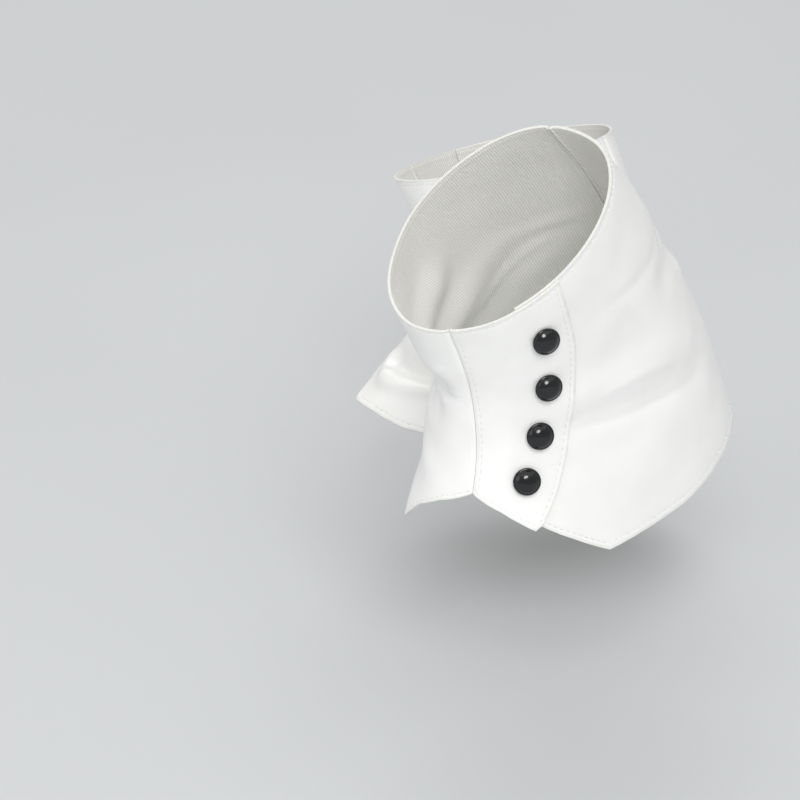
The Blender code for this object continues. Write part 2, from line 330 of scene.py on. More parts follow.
def lap_lift(wall, angle, level):
    """Rise of the outer front from the front seam until it clears the piece under it."""
    seam, under = seam_angle(level), under_angle(level)
    start, end = (seam + share * (under - seam) for share in LAP_RISE)
    rise = np.clip((angle - start) / (end - start), 0, 1)
    return (wall + GAP) * rise * rise * (3 - 2 * rise)


def spat_matrix(spat):
    """From a spat's millimetres to the frame's metres."""
    heading = spat["side"] * spat["turned_out"] - 90
    turns = [math.radians(turn) for turn in (spat["side"] * spat["tip"], spat["heel_lift"], heading)]
    return (Matrix.Translation(Vector(spat["middle"]) * MM) @ Euler(turns).to_matrix().to_4x4()
            @ Matrix.Scale(MM, 4))


def to_world(spat, points, direction=False):
    """Turn rows of points or directions from a spat's frame into the world's."""
    matrix = np.array(spat_matrix(spat))
    turned = points @ matrix[:3, :3].T
    if direction:
        return turned / np.linalg.norm(turned, axis=-1, keepdims=True)
    return turned + matrix[:3, 3]


def follow(line, hem, share):
    """Angle at which a line, given by level, crosses each row of a piece."""
    angle = line(share)
    for _ in range(8):
        angle = line(share * read_line(hem, angle))
    return angle


def piece_edges(panel, hem, share):
    """First and last angle of each row of a piece."""
    back = np.full(share.shape, 180.0)
    front = follow(seam_angle, hem, share)
    if panel == "inner_half":
        return -back, front
    if panel == "outer_front":
        return front, follow(flap_angle, hem, share)
    return follow(under_angle, hem, share), back


def graded(length, middle):
    """Distances along a length: close steps at both ends, and wide ones between."""
    steps = np.array(EDGE_STEPS)
    length = np.asarray(length)[..., None]
    share = np.linspace(0, 1, middle + 2)[1:-1]
    inner = steps[-1] + (length - 2 * steps[-1]) * share
    start = np.broadcast_to(steps, length.shape[:-1] + steps.shape)
    return np.concatenate([start, inner, length - start[..., ::-1]], axis=-1)


def groove(distance, inset, half_width, depth):
    """Narrow trough at a distance from an edge."""
    return -depth * np.exp(-((distance - inset) / half_width) ** 2)


def lay_cloth(spat, panel, cloth):
    """Lay a piece's grid on the form. Returns its points, normals, flat places and edge distances."""
    wall, facts, hem = cloth.wall / MM, PANELS[panel], HEMS[panel]
    share = graded(NOMINAL_HEIGHT, cloth.rows) / NOMINAL_HEIGHT
    first, last = piece_edges(panel, hem, share)
    angle = first[:, None] + (last - first)[:, None] * np.linspace(0, 1, ROW_SAMPLES)
    level = share[:, None] * read_line(hem, angle)
    run = np.linalg.norm(np.diff(folded_point(spat, angle, level), axis=1), axis=-1).cumsum(axis=1)
    run = np.concatenate([np.zeros((len(share), 1)), run], axis=1)
    seams = [SEAM_GAP / 2 * (side in facts["seams"]) for side in ("first", "last")]
    width = run[:, -1] - sum(seams)
    across = graded(width, facts["columns"]) + seams[0]
    angle = np.stack([np.interp(*row) for row in zip(across, run, angle)])
    level = share[:, None] * read_line(hem, angle)
    distance = {"first": across - seams[0], "last": (width + seams[0])[:, None] - across,
                "top": np.broadcast_to((share * NOMINAL_HEIGHT)[:, None], angle.shape),
                "hem": np.broadcast_to(((1 - share) * NOMINAL_HEIGHT)[:, None], angle.shape)}
    lift = lap_lift(wall, angle, level) if panel == "outer_front" else np.zeros(angle.shape)
    for side in facts["seams"]:
        lift += groove(distance[side], 0.0, cloth.seam_width / MM, cloth.seam_depth / MM)
    for side in facts["stitched"]:
        lift += groove(distance[side], EDGE_STEPS[STITCH_STEP], cloth.groove_width / MM,
                       cloth.groove_depth / MM)
    normal = surface_normal(worn_point, spat, angle, level)
    points = worn_point(spat, angle, level) + lift[..., None] * normal
    flat = np.stack([across, level * FLAT_MM_PER_LEVEL], axis=-1) * MM
    open_sides = [side for side in distance if side not in facts["seams"]]
    nearest = np.min([distance[side] for side in open_sides], axis=0)
    return to_world(spat, points), to_world(spat, normal, direction=True), flat, nearest


# ---- Materials ----

def linear(code):
    """Turn an sRGB hex code into the linear colour that the shaders take."""
    channels = [int(code[i:i + 2], 16) / 255 for i in (0, 2, 4)]
    return tuple(c / 12.92 if c <= 0.04045 else ((c + 0.055) / 1.055) ** 2.4 for c in channels)


def add_node(tree, kind, inputs=None, **settings):
    """Add a node with its settings. An input is a value, or a socket to link from."""
    node = tree.nodes.new(kind)
    for name, value in settings.items():
        setattr(node, name, value)
    for name, value in (inputs or {}).items():
        if isinstance(value, bpy.types.NodeSocket):
            tree.links.new(value, node.inputs[name])
        else:
            node.inputs[name].default_value = value
    return node


def new_material(name):
    """A material with only its shader and output left in it."""
    material = bpy.data.materials.new(name)
    material.use_nodes = True
    return material, material.node_tree, material.node_tree.nodes["Principled BSDF"]


def set_shader(shader, values):
    """Set constants on the shader's own sockets."""
    for name, value in values.items():
        shader.inputs[name].default_value = value


def ramp(tree, factor, start, end, first, second):
    """Blend from one colour to another as a factor goes from start to end."""
    node = add_node(tree, "ShaderNodeValToRGB", {"Fac": factor})
    for element, at, colour in zip(node.color_ramp.elements, (start, end), (first, second)):
        element.position = at
        element.color = (*colour, 1.0)
    return node.outputs["Color"]


def leatherette(cloth):
    """Polyurethane-coated leatherette, embossed and semi-gloss.

    Gives the eye a clean white film with a soft sheen, a very fine pebble, slow
    ripples in its highlights, and a slightly greyer, drier rim at cut edges.
    """
    material, tree, shader = new_material("polyurethane_coated_leatherette")
    place = add_node(tree, "ShaderNodeTexCoord").outputs["Object"]
    mottle = add_node(tree, "ShaderNodeTexNoise", {"Vector": place, "Scale": 1 / 0.022, "Detail": 3.0,
                                                   "Roughness": 0.55})
    film = ramp(tree, mottle.outputs["Fac"], 0.32, 0.72, cloth.film_shade, cloth.film_colour)
    rim = add_node(tree, "ShaderNodeAttribute", attribute_name="edge_wear")
    scuff = add_node(tree, "ShaderNodeTexNoise", {"Vector": place, "Scale": 1 / 0.0035, "Detail": 2.0})
    worn = add_node(tree, "ShaderNodeMath", {0: rim.outputs["Fac"], 1: scuff.outputs["Fac"]},
                    operation="MULTIPLY")
    colour = add_node(tree, "ShaderNodeMixRGB", {"Fac": worn.outputs[0], "Color1": film,
                                                 "Color2": (*cloth.wear_colour, 1.0)})
    # The emboss of such film is about 0.7 mm; it is drawn at 1.1 mm so that it shows.
    pebble = add_node(tree, "ShaderNodeTexVoronoi", {"Vector": place, "Scale": 1 / 0.0011,
                                                     "Smoothness": 0.6}, feature="SMOOTH_F1")
    ripple = add_node(tree, "ShaderNodeTexNoise", {"Vector": place, "Scale": 1 / 0.011, "Detail": 2.0})
    slow = add_node(tree, "ShaderNodeBump", {"Height": ripple.outputs["Fac"], "Strength": 0.22,
                                             "Distance": 0.0006})
    fine = add_node(tree, "ShaderNodeBump", {"Height": pebble.outputs["Distance"], "Strength": 0.10,
                                             "Distance": 0.00012, "Normal": slow.outputs["Normal"]})
    gloss = add_node(tree, "ShaderNodeMapRange", {"Value": mottle.outputs["Fac"], "From Min": 0.3,
                                                  "From Max": 0.7, "To Min": 0.36, "To Max": 0.28})
    tree.links.new(colour.outputs["Color"], shader.inputs["Base Color"])
    tree.links.new(gloss.outputs["Result"], shader.inputs["Roughness"])
    tree.links.new(fine.outputs["Normal"], shader.inputs["Normal"])
    set_shader(shader, {"IOR": 1.49, "Coat Weight": 0.25, "Coat Roughness": 0.16, "Coat IOR": 1.5})
    return material


def knit_backing(cloth):
    """Brushed polyester knit, laminated behind the film.

    Gives the eye a matte, light grey inside with fine wales and a little fuzz, with painted shade darkening
    the colour between the wales.
    """
    material, tree, shader = new_material("brushed_polyester_knit")
    flat = add_node(tree, "ShaderNodeUVMap", uv_map="flat_cut").outputs["UV"]
    # Wales of such a knit are about 0.7 mm apart; they are drawn at 1.1 mm so that they show.
    wales = add_node(tree, "ShaderNodeTexWave", {"Vector": flat, "Scale": math.pi / 10 / 0.0011,
                                                 "Distortion": 1.2, "Detail": 1.0, "Detail Scale": 3.0},
                     wave_type="BANDS", bands_direction="X")
    fuzz = add_node(tree, "ShaderNodeTexNoise", {"Vector": flat, "Scale": 1 / 0.0009, "Detail": 4.0})
    height = add_node(tree, "ShaderNodeMath", {0: wales.outputs["Fac"], 1: fuzz.outputs["Fac"]},
                      operation="ADD")
    bump = add_node(tree, "ShaderNodeBump", {"Height": height.outputs[0], "Strength": 0.5,
                                             "Distance": 0.0002})
    # Painted shade: the knit's colour darkens between the wales, where the bump sinks.
    colour = ramp(tree, wales.outputs["Fac"], 0.1, 0.8, cloth.backing_painted_shade_and_fibre_tone, cloth.backing_colour)
    tree.links.new(colour, shader.inputs["Base Color"])
    tree.links.new(bump.outputs["Normal"], shader.inputs["Normal"])
    set_shader(shader, {"Roughness": 0.88, "IOR": 1.5, "Sheen Weight": 0.3, "Sheen Roughness": 0.5})
    return material


def cut_edge(cloth):
    """Knife-cut edge of the laminate.

    Gives the eye a thin, dull, off-white line where film and backing meet.
    """
    material, tree, shader = new_material("knife_cut_laminate_edge")
    place = add_node(tree, "ShaderNodeTexCoord").outputs["Object"]
    fibre = add_node(tree, "ShaderNodeTexNoise", {"Vector": place, "Scale": 1 / 0.0008, "Detail": 3.0})
    bump = add_node(tree, "ShaderNodeBump", {"Height": fibre.outputs["Fac"], "Strength": 0.2,
                                             "Distance": 0.00006})
    colour = ramp(tree, fibre.outputs["Fac"], 0.2, 0.8, cloth.backing_painted_shade_and_fibre_tone, cloth.backing_colour)
    tree.links.new(colour, shader.inputs["Base Color"])
    tree.links.new(bump.outputs["Normal"], shader.inputs["Normal"])
    set_shader(shader, {"Roughness": 0.75, "IOR": 1.5})
    return material


def sewing_thread(stitching):
    """Bonded polyester sewing thread.

    Gives the eye a bright white line of short, plump stitches with a faint twist, and painted shade between
    its plies.
    """
    material, tree, shader = new_material("bonded_polyester_thread")
    place = add_node(tree, "ShaderNodeTexCoord").outputs["Object"]
    twist = add_node(tree, "ShaderNodeTexNoise", {"Vector": place, "Scale": 1 / 0.0006, "Detail": 1.0})
    bump = add_node(tree, "ShaderNodeBump", {"Height": twist.outputs["Fac"], "Strength": 0.4,
                                             "Distance": 0.00008})
    # Painted shade: the thread's colour darkens where its twist bump sinks, between the plies.
    colour = ramp(tree, twist.outputs["Fac"], 0.25, 0.75, stitching.thread_painted_shade, stitching.thread_colour)
    tree.links.new(colour, shader.inputs["Base Color"])
    tree.links.new(bump.outputs["Normal"], shader.inputs["Normal"])
    set_shader(shader, {"Roughness": 0.55, "IOR": 1.53, "Sheen Weight": 0.15})
    return material


def moulded_button(buttons):
    """Black polyester resin, moulded and tumble-polished.

    Gives the eye a near-black glossy dome with crisp highlights, and a trace of
    orange peel and handling marks that soften them.
    """
    material, tree, shader = new_material("polished_black_polyester_resin")
    place = add_node(tree, "ShaderNodeTexCoord").outputs["Object"]
    peel = add_node(tree, "ShaderNodeTexNoise", {"Vector": place, "Scale": 1 / 0.0030, "Detail": 1.0})
    marks = add_node(tree, "ShaderNodeTexNoise", {"Vector": place, "Scale": 1 / 0.0012, "Detail": 4.0,
                                                  "Roughness": 0.7})
    bump = add_node(tree, "ShaderNodeBump", {"Height": peel.outputs["Fac"], "Strength": 0.15,
                                             "Distance": 0.0002})
    gloss = add_node(tree, "ShaderNodeMapRange", {"Value": marks.outputs["Fac"], "From Min": 0.3,
                                                  "From Max": 0.75, "To Min": 0.10, "To Max": 0.20})
    colour = ramp(tree, marks.outputs["Fac"], 0.3, 0.8, buttons.resin_colour, buttons.resin_bloom)
    tree.links.new(colour, shader.inputs["Base Color"])
    tree.links.new(gloss.outputs["Result"], shader.inputs["Roughness"])
    tree.links.new(bump.outputs["Normal"], shader.inputs["Normal"])
    set_shader(shader, {"IOR": 1.5, "Coat Weight": 0.1, "Coat Roughness": 0.06})
    return material


def studio_board(stage):
    """Matte painted board of the studio floor.

    Gives the eye a plain, pale, even ground with no shine.
    """
    material, tree, shader = new_material("matte_painted_board")
    place = add_node(tree, "ShaderNodeTexCoord").outputs["Object"]
    cloud = add_node(tree, "ShaderNodeTexNoise", {"Vector": place, "Scale": 1 / 0.4, "Detail": 2.0})
    colour = ramp(tree, cloud.outputs["Fac"], 0.2, 0.8, stage.floor_shade, stage.floor_colour)
    tree.links.new(colour, shader.inputs["Base Color"])
    set_shader(shader, {"Roughness": 0.9, "IOR": 1.4})
    return material


# ---- Building meshes ----

def add_object(name, mesh):
    """Put a mesh in the scene as an object at the origin."""
    piece = bpy.data.objects.new(name, mesh)
    bpy.context.scene.collection.objects.link(piece)
    return piece


def bake_modifiers(rough, name):
    """Swap an object for a plain one that holds its evaluated mesh."""
    graph = bpy.context.evaluated_depsgraph_get()
    mesh = bpy.data.meshes.new_from_object(rough.evaluated_get(graph), depsgraph=graph)
    bpy.data.objects.remove(rough)
    mesh.name = name
    return add_object(name, mesh)


def grid_mesh(name, points, flat, nearest, cloth, flip):
    """One layer of cloth, with its flat cut as a UV map and its wear along open edges."""
    layer = bmesh.new()
    uv = layer.loops.layers.uv.new("flat_cut")
    wear = layer.verts.layers.float.new("edge_wear")
    corners = [[layer.verts.new(point) for point in row] for row in points]
    for corner, distance in zip(sum(corners, []), nearest.ravel()):
        corner[wear] = max(0.0, 1 - distance * MM / cloth.wear_width)
    places = dict(zip(sum(corners, []), flat.reshape(-1, 2)))
    for upper, lower in zip(corners, corners[1:]):
        for a, b, c, d in zip(upper, lower, lower[1:], upper[1:]):
            face = layer.faces.new((d, c, b, a) if flip else (a, b, c, d))
            for loop in face.loops:
                loop[uv].uv = places[loop.vert]
    mesh = bpy.data.meshes.new(name)
    layer.to_mesh(mesh)
    layer.free()
    mesh.shade_smooth()
    return mesh


def make_cloth(side, panel, cloth, materials):
    """Cut, fold and thicken one piece of a spat."""
    spat, node = SPATS[side], f"{side}_{panel}"
    points, _, flat, nearest = lay_cloth(spat, panel, cloth)
    rough = add_object(node + "_layer", grid_mesh(node, points, flat, nearest, cloth, spat["side"] < 0))
    for material in materials:
        rough.data.materials.append(material)
    wall = rough.modifiers.new("wall", "SOLIDIFY")
    wall.thickness = cloth.wall
    wall.offset = -1.0
    wall.material_offset = 1
    wall.material_offset_rim = 2
    rounding = rough.modifiers.new("rounding", "BEVEL")
    rounding.width = cloth.edge_round
    rounding.segments = 3
    rounding.limit_method = "ANGLE"
    rounding.angle_limit = math.radians(60)
    piece = bake_modifiers(rough, node + "_cloth")
    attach(piece, "root")
    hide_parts(node)
    return piece


def shared_material(name, make, settings):
    """Reuse a material that an earlier piece made."""
    return bpy.data.materials.get(name) or make(settings)


def cloth_materials(cloth):
    """The film, backing and cut edge of every piece of cloth."""
    return (shared_material("polyurethane_coated_leatherette", leatherette, cloth),
            shared_material("brushed_polyester_knit", knit_backing, cloth),
            shared_material("knife_cut_laminate_edge", cut_edge, cloth))


# ---- Settings ----

class SpatClothSettings(bpy.types.PropertyGroup):
    """The leatherette and how it is sewn."""
    wall: FloatProperty(name="Wall", description="Thickness of the leatherette with its backing",
                        default=0.0012, min=0.0004, unit="LENGTH")
    rows: IntProperty(name="Rows", description="Wide rows of the cloth's grid between its close edges",
                      default=112, min=10)
    edge_round: FloatProperty(name="Edge Round", description="Rounding of the cut edges",
                              default=0.00028, min=0.0, unit="LENGTH")
    seam_depth: FloatProperty(name="Seam Depth", description="How far the cloth turns in at a seam",
                              default=0.0008, min=0.0, unit="LENGTH")
    seam_width: FloatProperty(name="Seam Width", description="Reach of that turn from the seam",
                              default=0.0011, min=0.0002, unit="LENGTH")
    groove_depth: FloatProperty(name="Groove Depth", description="How far the stitches draw the cloth in",
                                default=0.00014, min=0.0, unit="LENGTH")
    groove_width: FloatProperty(name="Groove Width", description="Half width of that groove",
                                default=0.0006, min=0.0001, unit="LENGTH")
    wear_width: FloatProperty(name="Wear Width", description="Reach of the greyer rim from a cut edge",
                              default=0.0016, min=0.0001, unit="LENGTH")
    film_colour: FloatVectorProperty(name="Film", description="White of the coated face",
                                     default=linear("F7F7F5"), subtype="COLOR", min=0, max=1)
    film_shade: FloatVectorProperty(name="Film Shade", description="Darker patches of the coated face",
                                    default=linear("F2F2EF"), subtype="COLOR", min=0, max=1)
    wear_colour: FloatVectorProperty(name="Wear", description="Greyed film along the cut edges",
                                     default=linear("D2D1CC"), subtype="COLOR", min=0, max=1)
    backing_colour: FloatVectorProperty(name="Backing", description="Knit on the inside",
                                        default=linear("E2E1DD"), subtype="COLOR", min=0, max=1)
    # Backing shade: painted shade between the wales of the knit, and the darker fibre tone of the cut edge.
    backing_painted_shade_and_fibre_tone: FloatVectorProperty(name="Backing Shade", description="Between the wales of the knit",
                                       default=linear("D0CFCA"), subtype="COLOR", min=0, max=1)


class SpatStitchSettings(bpy.types.PropertyGroup):
    """The topstitching."""
    pitch: FloatProperty(name="Pitch", description="From one stitch to the next",
                         default=0.0030, min=0.0005, unit="LENGTH")
    length: FloatProperty(name="Length", description="Length of a stitch on the face",
                          default=0.0024, min=0.0003, unit="LENGTH")
    thickness: FloatProperty(name="Thread", description="Diameter of the thread",
                             default=0.00042, min=0.0001, unit="LENGTH")
    sink: FloatProperty(name="Sink", description="How far the ends of a stitch sink into the cloth",
                        default=0.00030, min=0.0, unit="LENGTH")
    seed: IntProperty(name="Seed", description="Seed of the small unevenness from stitch to stitch",
                      default=7)
    thread_colour: FloatVectorProperty(name="Thread", description="White of the thread",
                                       default=linear("F4F4F0"), subtype="COLOR", min=0, max=1)
    # Thread shade: painted shade between the plies of the thread.
    thread_painted_shade: FloatVectorProperty(name="Thread Shade", description="Between the plies of the thread",
                                      default=linear("D8D7D1"), subtype="COLOR", min=0, max=1)


class SpatButtonSettings(bpy.types.PropertyGroup):
    """The domed buttons."""
    diameter: FloatProperty(name="Diameter", description="Across the rim of a button",
                            default=0.011, min=0.004, unit="LENGTH")
    height: FloatProperty(name="Height", description="From the cloth to the top of the dome",
                          default=0.0042, min=0.001, unit="LENGTH")
    steps: IntProperty(name="Steps", description="Sides of the turned button", default=72, min=12)
    resin_colour: FloatVectorProperty(name="Resin", description="Black of the resin",
                                      default=linear("0C0D0F"), subtype="COLOR", min=0, max=1)
    resin_bloom: FloatVectorProperty(name="Bloom", description="Handled patches of the resin",
                                     default=linear("17191B"), subtype="COLOR", min=0, max=1)


class SpatStageSettings(bpy.types.PropertyGroup):
    """The studio."""
    floor_height: FloatProperty(name="Floor", description="Height of the floor under the pair",
                                default=-0.150, unit="LENGTH")
    floor_colour: FloatVectorProperty(name="Floor Colour", description="Paint of the floor",
                                      default=linear("C4C6C8"), subtype="COLOR", min=0, max=1)
    floor_shade: FloatVectorProperty(name="Floor Shade", description="Slow clouding of that paint",
                                     default=linear("BFC1C3"), subtype="COLOR", min=0, max=1)
    azimuth: FloatProperty(name="Azimuth", description="Camera's bearing round the spats",
                           default=math.radians(56), subtype="ANGLE")
    elevation: FloatProperty(name="Elevation", description="Camera's height above the level",
                             default=math.radians(24), subtype="ANGLE")
    distance: FloatProperty(name="Distance", description="From the camera to its target",
                            default=1.3, min=0.3, unit="LENGTH")
    target: FloatVectorProperty(name="Target", description="Where the camera looks",
                                default=(-0.0310, -0.0506, -0.0059), subtype="TRANSLATION", unit="LENGTH")
    lens: FloatProperty(name="Lens", description="Focal length in millimetres on a 36 mm sensor",
                        default=146.25, min=20)
    brightness: FloatProperty(name="Brightness", description="Scale of all the lights", default=1.0, min=0.0)


# ---- Operators ----

class ClothMaker:
    """Shared by the operators that make a piece of cloth for each spat."""
    panel = ""
    held = "draped"
    lies_on = ()

    def execute(self, context):
        cloth = context.scene.spat_cloth
        for side in SPATS:
            piece = make_cloth(side, self.panel, cloth, cloth_materials(cloth))
            rests_on = [f"{side}_{name}" for name in self.lies_on]
        return {"FINISHED"}


class SPATS_OT_inner_halves(ClothMaker, bpy.types.Operator):
    """Make the inner half of each spat, from its front seam round to its back seam"""
    bl_idname = "spats.inner_halves"
    bl_label = "Inner Halves"
    panel = "inner_half"
    lies_on = ("outer_front", "outer_back")


class SPATS_OT_outer_backs(ClothMaker, bpy.types.Operator):
    """Make the outer back of each spat, from under its flap round to its back seam"""
    bl_idname = "spats.outer_backs"
    bl_label = "Outer Backs"
    panel = "outer_back"
    lies_on = ("inner_half",)


class SPATS_OT_outer_fronts(ClothMaker, bpy.types.Operator):
    """Make the outer front of each spat, whose curved flap laps over the outer back"""
    bl_idname = "spats.outer_fronts"
    bl_label = "Outer Fronts"
    panel = "outer_front"
    lies_on = ("outer_back",)


def stitch_lines(cloth):
    """Points and normals of every line of topstitching, as rows along the cloth."""
    for spat in SPATS.values():
        for panel, facts in PANELS.items():
            points, normals, _, _ = lay_cloth(spat, panel, cloth)
            ends = slice(STITCH_STEP, -STITCH_STEP)
            lines = {"first": (ends, STITCH_STEP), "last": (ends, -1 - STITCH_STEP),
                     "top": (STITCH_STEP, ends), "hem": (-1 - STITCH_STEP, ends)}
            for side in facts["stitched"]:
                yield points[lines[side]], normals[lines[side]]


def stitch_tree(material):
    """Geometry nodes that sew a row of stitches along each edge of a mesh."""
    tree = bpy.data.node_groups.new("topstitch", "GeometryNodeTree")
    tree.is_modifier = True
    tree.interface.new_socket("Lines", in_out="INPUT", socket_type="NodeSocketGeometry")
    for name in ("Pitch", "Length", "Thread", "Sink"):
        tree.interface.new_socket(name, in_out="INPUT", socket_type="NodeSocketFloat")
    tree.interface.new_socket("Seed", in_out="INPUT", socket_type="NodeSocketInt")
    tree.interface.new_socket("Stitches", in_out="OUTPUT", socket_type="NodeSocketGeometry")
    given = add_node(tree, "NodeGroupInput").outputs
    line = add_node(tree, "GeometryNodeMeshToCurve", {"Mesh": given["Lines"]})
    places = add_node(tree, "GeometryNodeResampleCurve", {"Curve": line.outputs["Curve"],
                                                          "Length": given["Pitch"]}, mode="LENGTH")
    half = add_node(tree, "ShaderNodeMath", {0: given["Length"], 1: 0.5}, operation="MULTIPLY")
    back = add_node(tree, "ShaderNodeMath", {0: half.outputs[0], 1: -1.0}, operation="MULTIPLY")
    down = add_node(tree, "ShaderNodeMath", {0: given["Sink"], 1: -1.0}, operation="MULTIPLY")
    start = add_node(tree, "ShaderNodeCombineXYZ", {"X": back.outputs[0], "Z": down.outputs[0]})
    crown = add_node(tree, "ShaderNodeCombineXYZ", {"Z": given["Thread"]})
    end = add_node(tree, "ShaderNodeCombineXYZ", {"X": half.outputs[0], "Z": down.outputs[0]})
    arch = add_node(tree, "GeometryNodeCurveQuadraticBezier",
                    {"Resolution": 6, "Start": start.outputs[0], "Middle": crown.outputs[0],
                     "End": end.outputs[0]})
    radius = add_node(tree, "ShaderNodeMath", {0: given["Thread"], 1: 0.5}, operation="MULTIPLY")
    ring = add_node(tree, "GeometryNodeCurvePrimitiveCircle", {"Resolution": 6,
                                                               "Radius": radius.outputs[0]})
    stitch = add_node(tree, "GeometryNodeCurveToMesh",
                      {"Curve": arch.outputs["Curve"], "Profile Curve": ring.outputs["Curve"],
                       "Fill Caps": True})
    tangent = add_node(tree, "GeometryNodeInputTangent")
    normal = add_node(tree, "GeometryNodeInputNamedAttribute", {"Name": "cloth_normal"},
                      data_type="FLOAT_VECTOR")
    ahead = add_node(tree, "FunctionNodeAlignRotationToVector", {"Vector": tangent.outputs[0]}, axis="X")
    upright = add_node(tree, "FunctionNodeAlignRotationToVector",
                       {"Rotation": ahead.outputs[0], "Vector": normal.outputs["Attribute"]},
                       axis="Z", pivot_axis="X")
    size = add_node(tree, "FunctionNodeRandomValue", {"Min": (0.93, 0.95, 0.92), "Max": (1.05, 1.05, 1.06),
                                                      "Seed": given["Seed"]}, data_type="FLOAT_VECTOR")
    row = add_node(tree, "GeometryNodeInstanceOnPoints",
                   {"Points": places.outputs["Curve"], "Instance": stitch.outputs["Mesh"],
                    "Rotation": upright.outputs[0], "Scale": size.outputs[0]})
    smooth = add_node(tree, "GeometryNodeSetShadeSmooth", {"Geometry": row.outputs["Instances"]})
    real = add_node(tree, "GeometryNodeRealizeInstances", {"Geometry": smooth.outputs[0]})
    finish = add_node(tree, "GeometryNodeSetMaterial", {"Geometry": real.outputs[0], "Material": material})
    add_node(tree, "NodeGroupOutput", {"Stitches": finish.outputs[0]})
    return tree


class SPATS_OT_topstitching(bpy.types.Operator):
    """Sew the lines of topstitching along the seams, the flap and the hems"""
    bl_idname = "spats.topstitching"
    bl_label = "Topstitching"

    def execute(self, context):
        stitching = context.scene.spat_stitching
        lines = bmesh.new()
        facing = lines.verts.layers.float_vector.new("cloth_normal")
        for points, normals in stitch_lines(context.scene.spat_cloth):
            row = [lines.verts.new(point) for point in points]
            for corner, normal in zip(row, normals):
                corner[facing] = normal
            for start, end in zip(row, row[1:]):
                lines.edges.new((start, end))
        mesh = bpy.data.meshes.new("stitch_lines")
        lines.to_mesh(mesh)
        lines.free()
        rough = add_object("stitch_lines", mesh)
        tree = stitch_tree(sewing_thread(stitching))
        sewing = rough.modifiers.new("sewing", "NODES")
        sewing.node_group = tree
        values = dict(Pitch=stitching.pitch, Length=stitching.length, Thread=stitching.thickness,
                      Sink=stitching.sink, Seed=stitching.seed)
        for socket in tree.interface.items_tree:
            if socket.name in values:
                sewing[socket.identifier] = values[socket.name]
        stitches = bake_modifiers(rough, "topstitching")
        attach(stitches, "root")
        return {"FINISHED"}


DOME_POWER = 2.8           # above 2, so that the dome is flat in its middle and steep at its edge
DOME_POINTS = 17
RIM_TURN = (105, -80)      # degrees that the rolled rim runs through
RIM_POINTS = 15
SHANK_DEPTH = 1.0          # how far the shank runs into the flap


def button_outline(buttons):
    """Turned outline of a button, from the top of its dome to the end of its shank."""
    radius, height = buttons.diameter / MM / 2, buttons.height / MM
    rim_radius = 0.11 * radius
    rim_x, rim_z = radius - rim_radius, 0.40 * height
    dome_edge, dome_drop = 0.85 * radius, 0.42 * height
    dome = [(x, height - dome_drop * (x / dome_edge) ** DOME_POWER)
            for x in np.linspace(0, dome_edge, DOME_POINTS)]
    groove_floor = [(dome_edge + 0.02 * radius, height * 0.545)]
    rim = [(rim_x + rim_radius * math.cos(turn), rim_z + rim_radius * math.sin(turn))
           for turn in np.radians(np.linspace(*RIM_TURN, RIM_POINTS))]
    shank_radius = 0.50 * radius
    shank = [(0.56 * radius, 0.20 * height), (shank_radius, 0.17 * height),
             (shank_radius, -SHANK_DEPTH), (0, -SHANK_DEPTH)]
    return dome + groove_floor + rim + shank


def turned_button(buttons):
    """Mesh of one button, turned about +Z, that stands on z = 0."""
    outline = bmesh.new()
    corners = [outline.verts.new((x * MM, 0, z * MM)) for x, z in button_outline(buttons)]
    for start, end in zip(corners, corners[1:]):
        outline.edges.new((start, end))
    bmesh.ops.spin(outline, geom=outline.verts[:] + outline.edges[:], cent=(0, 0, 0), axis=(0, 0, 1),
                   angle=2 * math.pi, steps=buttons.steps, use_merge=True)
    bmesh.ops.remove_doubles(outline, verts=outline.verts, dist=0.000005)
    bmesh.ops.recalc_face_normals(outline, faces=outline.faces)
    mesh = bpy.data.meshes.new("turned_button")
    outline.to_mesh(mesh)
    outline.free()
    mesh.shade_smooth()
    mesh.set_sharp_from_angle(angle=math.radians(50))
    return mesh


class SPATS_OT_buttons(bpy.types.Operator):
    """Turn the domed buttons and seat four on each flap"""
    bl_idname = "spats.buttons"
    bl_label = "Buttons"

    def execute(self, context):
        buttons = context.scene.spat_buttons
        wall = context.scene.spat_cloth.wall / MM
        mesh = turned_button(buttons)
        mesh.materials.append(moulded_button(buttons))
        for side, spat in SPATS.items():
            for number, (level, angle, lean) in enumerate(BUTTONS, start=1):
                at = np.array([float(angle)]), np.array([float(level)])
                normal = surface_normal(folded_point, spat, *at)
                seat = folded_point(spat, *at) + (lap_lift(wall, *at) + GAP)[:, None] * normal
                above = folded_point(spat, at[0], at[1] - NORMAL_DROP) - folded_point(spat, *at)
                upward = Vector(to_world(spat, above, direction=True)[0])
                facing = Vector(to_world(spat, normal, direction=True)[0])
                facing = facing + math.tan(math.radians(lean)) * upward
                copy = mesh.copy()
                copy.transform(Matrix.Translation(to_world(spat, seat)[0])
                               @ facing.to_track_quat("Z", "Y").to_matrix().to_4x4())
                node = f"{side}_button_{number}"
                button = add_object(node + "_dome", copy)
                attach(button, "root")
                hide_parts(node)
        return {"FINISHED"}


STUDIO_LIGHTS = (  # name, azimuth, elevation, distance in metres, size in metres, watts
    ("key", 62, 36, 1.7, 0.7, 15.0),
    ("fill", 350, 20, 1.9, 1.3, 4.5),
    ("back", 235, 45, 1.8, 1.2, 7.0),
)
CEILING_SPREAD = 100       # degrees across the sky that the even light from above comes from
CEILING_STRENGTH = 1.0     # watts to the square metre


def camera_side(azimuth, elevation):
    """Direction from the spats to a bearing and height."""
    return Vector((math.sin(azimuth) * math.cos(elevation), -math.cos(azimuth) * math.cos(elevation),
                   math.sin(elevation)))


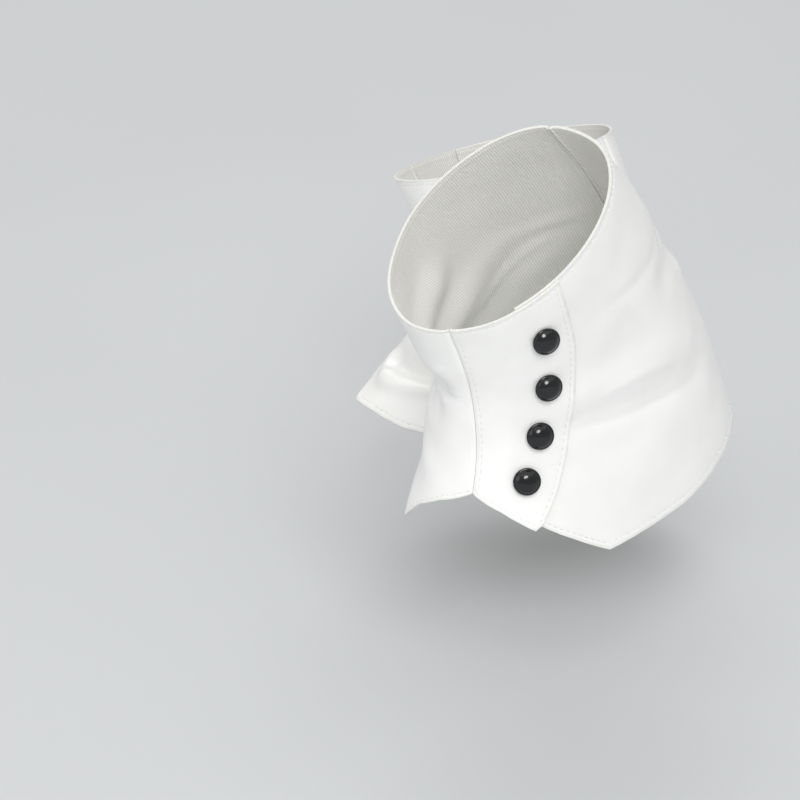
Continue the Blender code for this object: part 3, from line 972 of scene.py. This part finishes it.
class SPATS_OT_stage(bpy.types.Operator):
    """Set up the floor, the soft lights and the camera"""
    bl_idname = "spats.stage"
    bl_label = "Studio"

    def execute(self, context):
        stage = context.scene.spat_stage
        target = Vector(stage.target)
        board = bmesh.new()
        bmesh.ops.create_grid(board, x_segments=1, y_segments=1, size=20.0,
                              matrix=Matrix.Translation((0, 0, stage.floor_height)))
        mesh = bpy.data.meshes.new("studio_floor")
        board.to_mesh(mesh)
        board.free()
        mesh.materials.append(studio_board(stage))
        add_object("studio_floor", mesh)
        for name, azimuth, elevation, distance, size, watts in STUDIO_LIGHTS:
            lamp = bpy.data.lights.new(name, "AREA")
            lamp.shape = "DISK"
            lamp.size = size
            lamp.energy = watts * stage.brightness
            light = add_object(name, lamp)
            away = camera_side(math.radians(azimuth), math.radians(elevation))
            light.location = target + away * distance
            light.rotation_euler = away.to_track_quat("Z", "Y").to_euler()
        ceiling = bpy.data.lights.new("ceiling", "SUN")
        ceiling.angle = math.radians(CEILING_SPREAD)
        ceiling.energy = CEILING_STRENGTH * stage.brightness
        add_object("ceiling", ceiling)
        world = bpy.data.worlds.new("studio_air")
        world.use_nodes = True
        air = world.node_tree.nodes["Background"]
        air.inputs["Color"].default_value = (*linear("F5F5F4"), 1.0)
        air.inputs["Strength"].default_value = 0.50 * stage.brightness
        context.scene.world = world
        context.scene.view_settings.view_transform = "Standard"
        lens = bpy.data.cameras.new("camera")
        lens.lens = stage.lens
        lens.sensor_width = 36.0
        camera = add_object("camera", lens)
        away = camera_side(stage.azimuth, stage.elevation)
        camera.location = target + away * stage.distance
        camera.rotation_euler = away.to_track_quat("Z", "Y").to_euler()
        context.scene.camera = camera
        return {"FINISHED"}


class SPATS_PT_panel(bpy.types.Panel):
    """Lists the pieces of the spats and their settings"""
    bl_idname = "SPATS_PT_panel"
    bl_label = "Spats"
    bl_space_type = "VIEW_3D"
    bl_region_type = "UI"
    bl_category = "Spats"

    def draw(self, context):
        layout = self.layout
        for operator in OPERATORS:
            layout.operator(operator.bl_idname)
        for name, kind in SETTINGS.items():
            box = layout.box()
            settings = getattr(context.scene, name)
            for prop in kind.__annotations__:
                box.prop(settings, prop)


SETTINGS = {"spat_cloth": SpatClothSettings, "spat_stitching": SpatStitchSettings,
            "spat_buttons": SpatButtonSettings, "spat_stage": SpatStageSettings}
OPERATORS = (SPATS_OT_inner_halves, SPATS_OT_outer_backs, SPATS_OT_outer_fronts,
             SPATS_OT_topstitching, SPATS_OT_buttons, SPATS_OT_stage)


def register():
    for kind in (*SETTINGS.values(), *OPERATORS, SPATS_PT_panel):
        bpy.utils.register_class(kind)
    for name, kind in SETTINGS.items():
        setattr(bpy.types.Scene, name, PointerProperty(type=kind))


def unregister():
    for name in SETTINGS:
        delattr(bpy.types.Scene, name)
    for kind in reversed((*SETTINGS.values(), *OPERATORS, SPATS_PT_panel)):
        bpy.utils.unregister_class(kind)


def main():
    register()
    bpy.ops.spats.inner_halves()
    bpy.ops.spats.outer_backs()
    bpy.ops.spats.outer_fronts()
    bpy.ops.spats.topstitching()
    bpy.ops.spats.buttons()
    bpy.ops.spats.stage()


if __name__ == "__main__":
    main()
